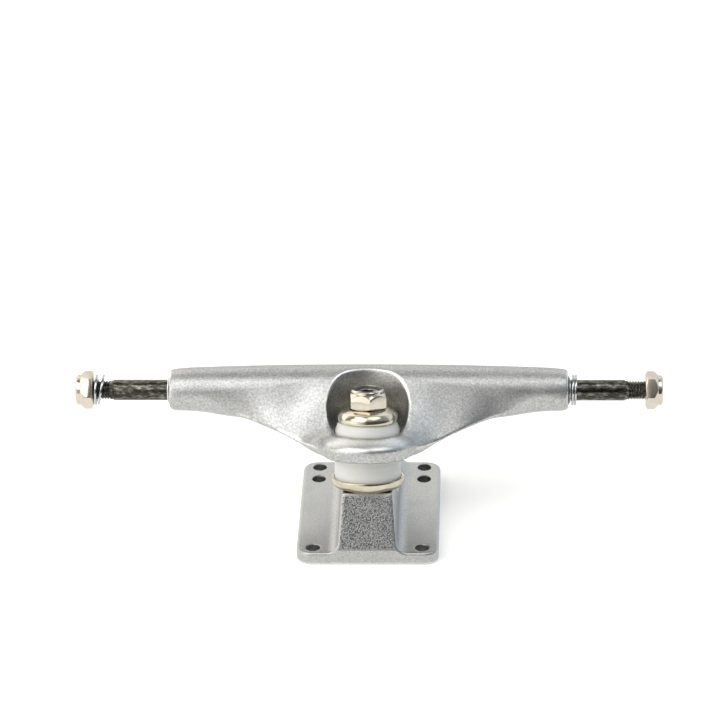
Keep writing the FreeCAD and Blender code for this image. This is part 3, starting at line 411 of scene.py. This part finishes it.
# 24 turns to the inch, on all three threads
THREAD_PITCH = 25.4 / 24 * MM
kingpin = bevelled_copy("kingpin", "kingpin_bolt", 0.15 * MM)
pin_end = max((kingpin_floor @ vertex.co).z for vertex in kingpin.data.vertices)
pin_radius = 4.75 * MM
pin_thread = pin_end - 9.5 * MM
cut_rows(kingpin, kingpin_stand, pin_thread, pin_end - 0.1 * MM, 72)
roll_thread(kingpin, kingpin_stand, pin_radius, pin_thread, pin_end, THREAD_PITCH, 0.4 * MM)
kingpin.data.materials.append(blackened_steel("plated_bolt_steel", "8d8a80", "a19c8e", 0.4))
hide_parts("kingpin")
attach(kingpin, "base")

# Cup washers
# Two dished washers, pressed from steel sheet and plated with nickel over brass-coloured
# zinc, so they look warm and polished. One holds each bushing on the kingpin.


def plated_steel(name, pale, deep, gloss_low, gloss_high, relief):
    """Bright plating on mild steel: smooth, mirror-like, slightly warm, with a thin cloudy
    variation of tone and fine handling marks."""
    material = start_material(name)
    place = add(material, "ShaderNodeTexCoord").outputs["Object"]
    clouds = add(material, "ShaderNodeTexNoise",
                 {"Vector": place, "Scale": 1 / (4 * MM), "Detail": 3})
    marks = add(material, "ShaderNodeTexNoise",
                {"Vector": place, "Scale": 1 / (0.4 * MM), "Detail": 2})
    tint = add(material, "ShaderNodeMix",
               {"Factor": clouds.outputs["Fac"], "A": colour(deep), "B": colour(pale)},
               data_type="RGBA")
    gloss = add(material, "ShaderNodeMapRange",
                {"Value": marks.outputs["Fac"], "From Min": 0.3, "From Max": 0.7,
                 "To Min": gloss_low, "To Max": gloss_high})
    skin = add(material, "ShaderNodeBump",
               {"Height": clouds.outputs["Fac"], "Strength": 0.3, "Distance": relief})
    steel = add(material, "ShaderNodeBsdfPrincipled",
                {"Base Color": tint.outputs["Result"], "Metallic": 1.0,
                 "Roughness": gloss.outputs["Result"], "Normal": skin.outputs["Normal"]})
    add(material, "ShaderNodeOutputMaterial", {"Surface": steel.outputs["BSDF"]})
    return material


washer_plating = plated_steel("warm_nickel_plating", "d6cfbf", "b2a992", 0.08, 0.2, 0.04 * MM)
for side in ("board_side", "road_side"):
    washer = bevelled_copy(side + "_cup_washer", side + "_pressed_washer", 0.2 * MM)
    washer.data.materials.append(washer_plating)
    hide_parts(side + "_cup_washer")
    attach(washer, "base")

# Bushings
# Two cast urethane rings that the hanger is squeezed between: a barrel below and a shorter,
# tapered one above. White, slightly see-through, with faint lines from the lathe.


def white_urethane():
    """Cast polyurethane, white: light enters it a little, and its turned flanks carry fine
    rings, which a squeezed bushing shows as faint lines."""
    material = start_material("white_cast_urethane")
    place = add(material, "ShaderNodeTexCoord").outputs["Object"]
    upright = add(material, "ShaderNodeMapping",
                  {"Vector": place, "Location": kingpin_stand.translation,
                   "Rotation": kingpin_stand.to_euler(), "Scale": (60, 60, 1)},
                  vector_type="TEXTURE")
    # Lathe rings of about 0.2 mm, drawn 0.7 mm apart so that they show
    rings = add(material, "ShaderNodeTexNoise",
                {"Vector": upright.outputs["Vector"], "Scale": 1 / (0.7 * MM), "Detail": 2})
    tint = add(material, "ShaderNodeMix",
               {"Factor": rings.outputs["Fac"], "A": colour("d4d5d2"), "B": colour("e6e6e2")},
               data_type="RGBA")
    skin = add(material, "ShaderNodeBump",
               {"Height": rings.outputs["Fac"], "Strength": 0.6, "Distance": 0.06 * MM})
    rubber = add(material, "ShaderNodeBsdfPrincipled",
                 {"Base Color": tint.outputs["Result"], "Roughness": 0.4, "IOR": 1.5,
                  "Subsurface Weight": 0.2, "Subsurface Radius": (1.0, 0.95, 0.85),
                  "Subsurface Scale": 1.2 * MM, "Normal": skin.outputs["Normal"]})
    add(material, "ShaderNodeOutputMaterial", {"Surface": rubber.outputs["BSDF"]})
    return material


bushing_urethane = white_urethane()
for side, foot_body, head_body in (("board_side", "base", "hanger_body"),
                                   ("road_side", "hanger_body", "base")):
    bushing = skin_of(side + "_bushing", side + "_cast_bushing")
    recast(bushing, 0.4 * MM)
    tumble(bushing, 2)
    bushing.data.materials.append(bushing_urethane)
    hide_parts(side + "_bushing")
    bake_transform(bushing)

# Hanger
# The large aluminium casting that carries the axle: a barrel, a wing that sweeps down to a
# ring, a window for the nut and a flat web that runs to the pivot nose. Its ends are faced
# on a lathe, and the rest is left as tumbled.

hanger_casting = skin_of("hanger", "hanger_casting")
hanger_edges, hanger_hollows = bent_edges(hanger_casting, math.radians(25), 0.3 * MM)
hanger_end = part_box("hanger")[1].x
axle_low, axle_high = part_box("axle")
axle_middle = (axle_low + axle_high) / 2
axle_radius = (axle_high.z - axle_low.z) / 2
# The machined ends keep their sharp steps
end_zone = hanger_end - 9 * MM
hanger_hollows = [point for point in hanger_hollows if abs(point.x) < end_zone]

# The mould's parting line runs round the ring, under its round bead
ring_parting = 1.4 * MM + max(
    (kingpin_floor @ vertex.co).z for vertex in frame["nodes"]["board_side_bushing"].data.vertices)

# The axle fills the bore, so the casting is solid there but for a rebate at each end
bpy.ops.object.select_all(action="DESELECT")
bpy.ops.mesh.primitive_cylinder_add(
    vertices=64, radius=axle_radius + 0.2 * MM, depth=hanger_end * 2 - 1.2 * MM,
    location=axle_middle, rotation=(0, math.pi / 2, 0))
bore_filling = bpy.context.object
bore_filling.select_set(True)
hanger_casting.select_set(True)
bpy.context.view_layer.objects.active = hanger_casting
bpy.ops.object.join()
recast(hanger_casting, 0.5 * MM)


def borders_gusset(point, side_sign):
    """Whether a point is by the low corner between the wing and one side of the ring."""
    place = kingpin_floor @ point
    return (14 * MM < side_sign * point.x < 26 * MM and -22 * MM < point.y < -6 * MM
            and place.xy.length > 17 * MM and place.z < ring_parting + 1.2 * MM)


# A gusset fills that corner on each side: the hull of what lies round it
only(hanger_casting)
gussets = []
for side_sign in (-1, 1):
    for vertex in hanger_casting.data.vertices:
        vertex.select = borders_gusset(vertex.co, side_sign)
    bpy.ops.object.mode_set(mode="EDIT")
    bpy.ops.mesh.select_mode(type="VERT")
    bpy.ops.mesh.duplicate()
    bpy.ops.mesh.separate(type="SELECTED")
    bpy.ops.object.mode_set(mode="OBJECT")
    gusset = next(piece for piece in bpy.context.selected_objects if piece != hanger_casting)
    only(gusset)
    bpy.ops.object.mode_set(mode="EDIT")
    bpy.ops.mesh.select_all(action="SELECT")
    bpy.ops.mesh.convex_hull()
    bpy.ops.object.mode_set(mode="OBJECT")
    gussets.append(gusset)
    only(hanger_casting)
for gusset in gussets:
    gusset.select_set(True)
bpy.ops.object.join()
recast(hanger_casting, 0.5 * MM)
fill_hollows(hanger_casting, hanger_hollows, 3.5 * MM, 40)
# The wing runs into the ring's sides through a broad fillet
ring_reach = 14.5 * MM, 26 * MM
ring_hollows = [point for point in hanger_hollows
                if ring_reach[0] < (kingpin_floor @ point).xy.length < ring_reach[1]
                and point.z < axle_low.z]
fill_hollows(hanger_casting, ring_hollows, 7 * MM, 120)
tumble(hanger_casting, 3)


def painted_bead_highlight(point):
    """How much painted highlight a point gets on the front of the ring's bead, where its
    colour is made bright."""
    place = kingpin_floor @ point
    reach = place.xy.length
    rise = place.z - ring_parting
    front = 1 - ramp(abs(point.x), 11 * MM, 17 * MM) if point.y < 0 else 0.0
    return 0.4 * front * ramp(reach, 14 * MM, 16 * MM) * ramp(
        rise, -0.3 * MM, 0.3 * MM) * (1 - ramp(rise, 5.5 * MM, 6.5 * MM))


def wear_and_highlight_share(vertex, edge):
    """How much a vertex is rubbed bright, as wear and as a painted highlight. Edges that face down
    or back get less of it, which paints them darker than those on the top and front, and the
    bead's front gets its painted highlight.
    """
    if vertex.co.y > axle_high.y:
        edge *= 0.5
    edge *= 1 - 0.9 * ramp(-vertex.normal.z, -0.5, 0.1)
    return max(edge, painted_bead_highlight(vertex.co))


# Wear and painted highlight on the hanger's edges, and the painted highlight on the bead
keep(hanger_casting, "wear_and_highlight", [
    wear_and_highlight_share(vertex, edge) for vertex, edge in zip(
        hanger_casting.data.vertices, nearness(hanger_casting, hanger_edges, 1.0 * MM))])
# The sunk field of the web keeps its sand, inside a smooth rim
web_facet = max((facet for facet in frame["nodes"]["hanger"].data.polygons
                 if facet.normal.y > 0.3 and abs(facet.normal.x) < 0.01),
                key=lambda facet: facet.area)
web_spot, web_normal = web_facet.center.copy(), web_facet.normal.copy()
keep(hanger_casting, "coarse", [
    (1 - ramp(abs((vertex.co - web_spot).dot(web_normal)), 0.15 * MM, 0.4 * MM))
    * ramp(vertex.normal.dot(web_normal), 0.95, 0.985)
    for vertex in hanger_casting.data.vertices])
hanger_casting.data.materials.append(
    cast_aluminium("tumbled_cast_aluminium_hanger", 0.7 * MM, 0.06 * MM, "9fa0a1", "c3c3c1"))


def faced_aluminium():
    """Casting alloy cut on a lathe: bright, with fine rings that the tool leaves."""
    material = start_material("faced_cast_aluminium")
    place = add(material, "ShaderNodeTexCoord").outputs["Object"]
    marks = add(material, "ShaderNodeTexNoise", {"Vector": place, "Scale": 1 / (0.5 * MM)})
    gloss = add(material, "ShaderNodeMapRange",
                {"Value": marks.outputs["Fac"], "To Min": 0.2, "To Max": 0.34})
    metal = add(material, "ShaderNodeBsdfPrincipled",
                {"Base Color": colour("e8e7e2"), "Metallic": 1.0,
                 "Roughness": gloss.outputs["Result"]})
    add(material, "ShaderNodeOutputMaterial", {"Surface": metal.outputs["BSDF"]})
    return material


# A thin boss is left standing round the axle when each end is faced
faced = faced_aluminium()
boss_radius = axle_radius + 0.93 * MM
boss_length = 3 * MM
bosses = []
for side_sign in (-1, 1):
    bpy.ops.object.select_all(action="DESELECT")
    bpy.ops.mesh.primitive_cylinder_add(
        vertices=64, radius=boss_radius, depth=boss_length,
        location=(side_sign * (hanger_end - boss_length / 2), axle_middle.y, axle_middle.z),
        rotation=(0, math.pi / 2, 0))
    boss = bpy.context.object
    bpy.ops.object.transform_apply()
    finish_with(boss, "BEVEL", width=0.15 * MM, segments=2, limit_method="ANGLE")
    bpy.ops.object.shade_smooth_by_angle(angle=math.radians(30))
    boss.data.materials.append(faced)
    bosses.append(boss)
only(hanger_casting)
for boss in bosses:
    boss.select_set(True)
bpy.ops.object.join()
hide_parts("hanger")
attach(hanger_casting, "hanger_body")

# Axle
# One steel bar, blackened, that is pressed through the hanger. Both ends are turned down
# and threaded for the wheel nuts.

axle = bevelled_copy("axle", "axle_bar", 0.1 * MM)
axle_end = axle_high.x
axle_thread = axle_end - 12.6 * MM
stub_radius = 3.65 * MM
for side_sign in (-1, 1):
    axle_stand = Matrix.Translation(axle_middle) @ Matrix.Rotation(
        side_sign * math.pi / 2, 4, "Y")
    cut_rows(axle, axle_stand, axle_thread, axle_end - 0.1 * MM, 96)
    roll_thread(axle, axle_stand, stub_radius, axle_thread, axle_end, THREAD_PITCH, 0.6 * MM)
axle.data.materials.append(blackened_steel("blackened_axle_steel", "383832", "94918a", 0.46))
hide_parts("axle")
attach(axle, "hanger_body")

# Nuts
# Steel lock nuts, nickel plated: a chamfered hexagon with a round collar that is rolled
# over a nylon ring, which grips the thread.

nut_plating = plated_steel("bright_nickel_plating", "d6cec1", "bab1a2", 0.08, 0.16, 0.01 * MM)


def moulded_nylon():
    """Polyamide: a tough plastic, here dark grey with a faint haze and a waxy sheen."""
    material = start_material("moulded_nylon")
    place = add(material, "ShaderNodeTexCoord").outputs["Object"]
    haze = add(material, "ShaderNodeTexNoise", {"Vector": place, "Scale": 1 / (0.6 * MM)})
    tint = add(material, "ShaderNodeMix",
               {"Factor": haze.outputs["Fac"], "A": colour("3a3c40"), "B": colour("54565a")},
               data_type="RGBA")
    plastic = add(material, "ShaderNodeBsdfPrincipled",
                  {"Base Color": tint.outputs["Result"], "Roughness": 0.45, "IOR": 1.53})
    add(material, "ShaderNodeOutputMaterial", {"Surface": plastic.outputs["BSDF"]})
    return material


nylon = moulded_nylon()
for nut in ("kingpin_nut", "axle_nut_left", "axle_nut_right"):
    shell = bevelled_copy(nut, nut + "_shell", 0.12 * MM, 20)
    shell.data.materials.append(nut_plating)
    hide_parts(nut)
    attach(shell, nut + "_body")
    ring = bevelled_copy(nut + "_insert", nut + "_locking_ring", 0.15 * MM)
    ring.data.materials.append(nylon)
    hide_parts(nut + "_insert")
    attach(ring, nut + "_travel")

# Speed rings
# Thin zinc-plated steel washers, punched from sheet, two on each stub. They keep the wheel
# bearings off the nut and the hanger, and lie loose on the axle.

ring_plating = plated_steel("zinc_plated_washer", "c6c8ca", "9da1a5", 0.07, 0.15, 0.02 * MM)
for place in ("outer_left", "inner_left", "inner_right", "outer_right"):
    washer = bevelled_copy("speed_ring_" + place, "speed_ring_%s_washer" % place, 0.1 * MM)
    washer.data.materials.append(ring_plating)
    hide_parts("speed_ring_" + place)
    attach(washer, "speed_ring_%s_body" % place)

# Floor, light and camera
# A sheet of white paper, which keeps a faint shadow, under a tent of white cloth that is
# lit most on the left and behind, and is dim and a little cool on the right. Two soft boxes
# hang on the left and one on the right, and a long lens looks down from the front.

bpy.ops.object.select_all(action="DESELECT")
bpy.ops.mesh.primitive_plane_add(size=12, location=(0, 0, plate_low.z))
floor = bpy.context.object
floor.name = "floor"
paper = start_material("white_paper")
ray = add(paper, "ShaderNodeLightPath")
sheet = add(paper, "ShaderNodeBsdfDiffuse", {"Color": colour("f6f5f2")})
glow = add(paper, "ShaderNodeEmission", {"Color": colour("ffffff"), "Strength": 0.26})
lift = add(paper, "ShaderNodeAddShader", {0: sheet.outputs["BSDF"], 1: glow.outputs["Emission"]})
seen = add(paper, "ShaderNodeMath",
           {0: ray.outputs["Is Camera Ray"], 1: ray.outputs["Is Glossy Ray"]},
           operation="MAXIMUM")
seen = add(paper, "ShaderNodeMath",
           {0: seen.outputs["Value"], 1: ray.outputs["Is Transmission Ray"]},
           operation="MAXIMUM")
# The paper under the plate is in full shadow, as is seen through the bolt holes
spot = add(paper, "ShaderNodeSeparateXYZ",
           {"Vector": add(paper, "ShaderNodeTexCoord").outputs["Object"]})
outside = [add(paper, "ShaderNodeMath",
               {0: add(paper, "ShaderNodeMath", {0: spot.outputs[axis]},
                       operation="ABSOLUTE").outputs["Value"], 1: edge},
               operation="GREATER_THAN").outputs["Value"]
           for axis, edge in (("X", plate_high.x - 2 * MM), ("Y", plate_high.y - 2 * MM))]
open_floor = add(paper, "ShaderNodeMath", {0: outside[0], 1: outside[1]}, operation="MAXIMUM")
seen = add(paper, "ShaderNodeMath", {0: seen.outputs["Value"], 1: open_floor.outputs["Value"]},
           operation="MULTIPLY")
blend = add(paper, "ShaderNodeMixShader",
            {0: seen.outputs["Value"], 1: sheet.outputs["BSDF"], 2: lift.outputs["Shader"]})
add(paper, "ShaderNodeOutputMaterial", {"Surface": blend.outputs["Shader"]})
floor.data.materials.append(paper)

world = bpy.data.worlds.new("studio")
bpy.context.scene.world = world
world.use_nodes = True
world.node_tree.nodes.clear()
look = add(world, "ShaderNodeTexCoord")
toward = add(world, "ShaderNodeSeparateXYZ", {"Vector": look.outputs["Generated"]})


BRIGHTEST = 2.5


def walls(greys):
    """The tent's brightness from the front horizon over the top to the back horizon, kept
    as shares of the brightest, because a colour ramp holds no more than 1."""
    strip = add(world, "ShaderNodeValToRGB", {"Fac": over.outputs["Result"]})
    while len(strip.color_ramp.elements) < len(greys):
        strip.color_ramp.elements.new(0.5)
    for number, (element, grey) in enumerate(zip(strip.color_ramp.elements, greys)):
        element.position = number / (len(greys) - 1)
        element.color = (grey / BRIGHTEST, grey / BRIGHTEST, grey / BRIGHTEST, 1)
    return strip.outputs["Color"]


# The tent on the left, in the middle and on the right, every 20 degrees over the top
forward = add(world, "ShaderNodeMath", {0: toward.outputs["Y"], 1: -1.0}, operation="MULTIPLY")
turn = add(world, "ShaderNodeMath", {0: toward.outputs["Z"], 1: forward.outputs["Value"]},
           operation="ARCTAN2")
over = add(world, "ShaderNodeMapRange", {"Value": turn.outputs["Value"], "From Max": math.pi})
left = walls((2.2, 2.0, 1.4, 0.8, 0.3, 0.4, 1.9, 2.3, 1.9, 1.3))
middle = walls((0.1, 0.1, 0.3, 1.0, 0.7, 0.2, 0.8, 1.4, 1.1, 0.7))
right = walls((0.1, 0.1, 0.2, 0.4, 0.5, 0.5, 1.1, 1.5, 1.2, 0.9))
level = middle
for side, edge in ((left, -0.8), (right, 0.8)):
    share = add(world, "ShaderNodeMapRange", {"Value": toward.outputs["X"], "From Max": edge})
    level = add(world, "ShaderNodeMix", {"Factor": share.outputs["Result"], "A": level, "B": side},
                data_type="RGBA").outputs["Result"]
power = add(world, "ShaderNodeMath", {0: level, 1: BRIGHTEST}, operation="MULTIPLY")
cool = add(world, "ShaderNodeMapRange",
           {"Value": toward.outputs["X"], "From Min": -0.1, "From Max": 0.7})
tint = add(world, "ShaderNodeMix",
           {"Factor": cool.outputs["Result"], "A": colour("fffcf6"), "B": colour("e6f3ff")},
           data_type="RGBA")
air = add(world, "ShaderNodeBackground",
          {"Color": tint.outputs["Result"], "Strength": power.outputs["Value"]})
add(world, "ShaderNodeOutputWorld", {"Surface": air.outputs["Background"]})


def soft_box(name, azimuth, elevation, wide, tall, radiance):
    """A soft box 0.8 m away that faces the object. Its azimuth is from the front, to the
    right, and its radiance is the brightness at which it is seen."""
    toward_box = Vector((math.sin(azimuth) * math.cos(elevation),
                         -math.cos(azimuth) * math.cos(elevation), math.sin(elevation)))
    light = bpy.data.lights.new(name, "AREA")
    light.shape = "RECTANGLE"
    light.size = wide
    light.size_y = tall
    light.energy = radiance * math.pi * wide * tall
    box = bpy.data.objects.new(name, light)
    box.location = toward_box * 0.8 + Vector((0, 0, 0.04))
    box.rotation_euler = (-toward_box).to_track_quat("-Z", "Y").to_euler()
    bpy.context.collection.objects.link(box)


soft_box("left_strip_box", math.radians(-42), math.radians(41), 0.76, 0.26, 2.1)
soft_box("high_left_box", math.radians(-45), math.radians(62), 0.6, 0.3, 2.2)
soft_box("right_box", math.radians(60), math.radians(66), 0.45, 0.4, 1.6)

# The lens, its aim and its place are those that the picture's lines give for the plate's
# corners and the axle's ends
lens = bpy.data.cameras.new("camera")
lens.sensor_width = 36
lens.lens = 170
camera = bpy.data.objects.new("camera", lens)
aim = (Matrix.Rotation(math.radians(2.273), 3, "Z")
       @ Matrix.Rotation(math.radians(90 - 26.822), 3, "X")
       @ Matrix.Rotation(math.radians(-1.006), 3, "Z"))
camera.rotation_euler = aim.to_euler()
camera.location = aim @ Vector((-3.94, 61.159, 1319.583)) * MM
bpy.context.collection.objects.link(camera)
bpy.context.scene.camera = camera
bpy.context.scene.view_settings.view_transform = "Standard"
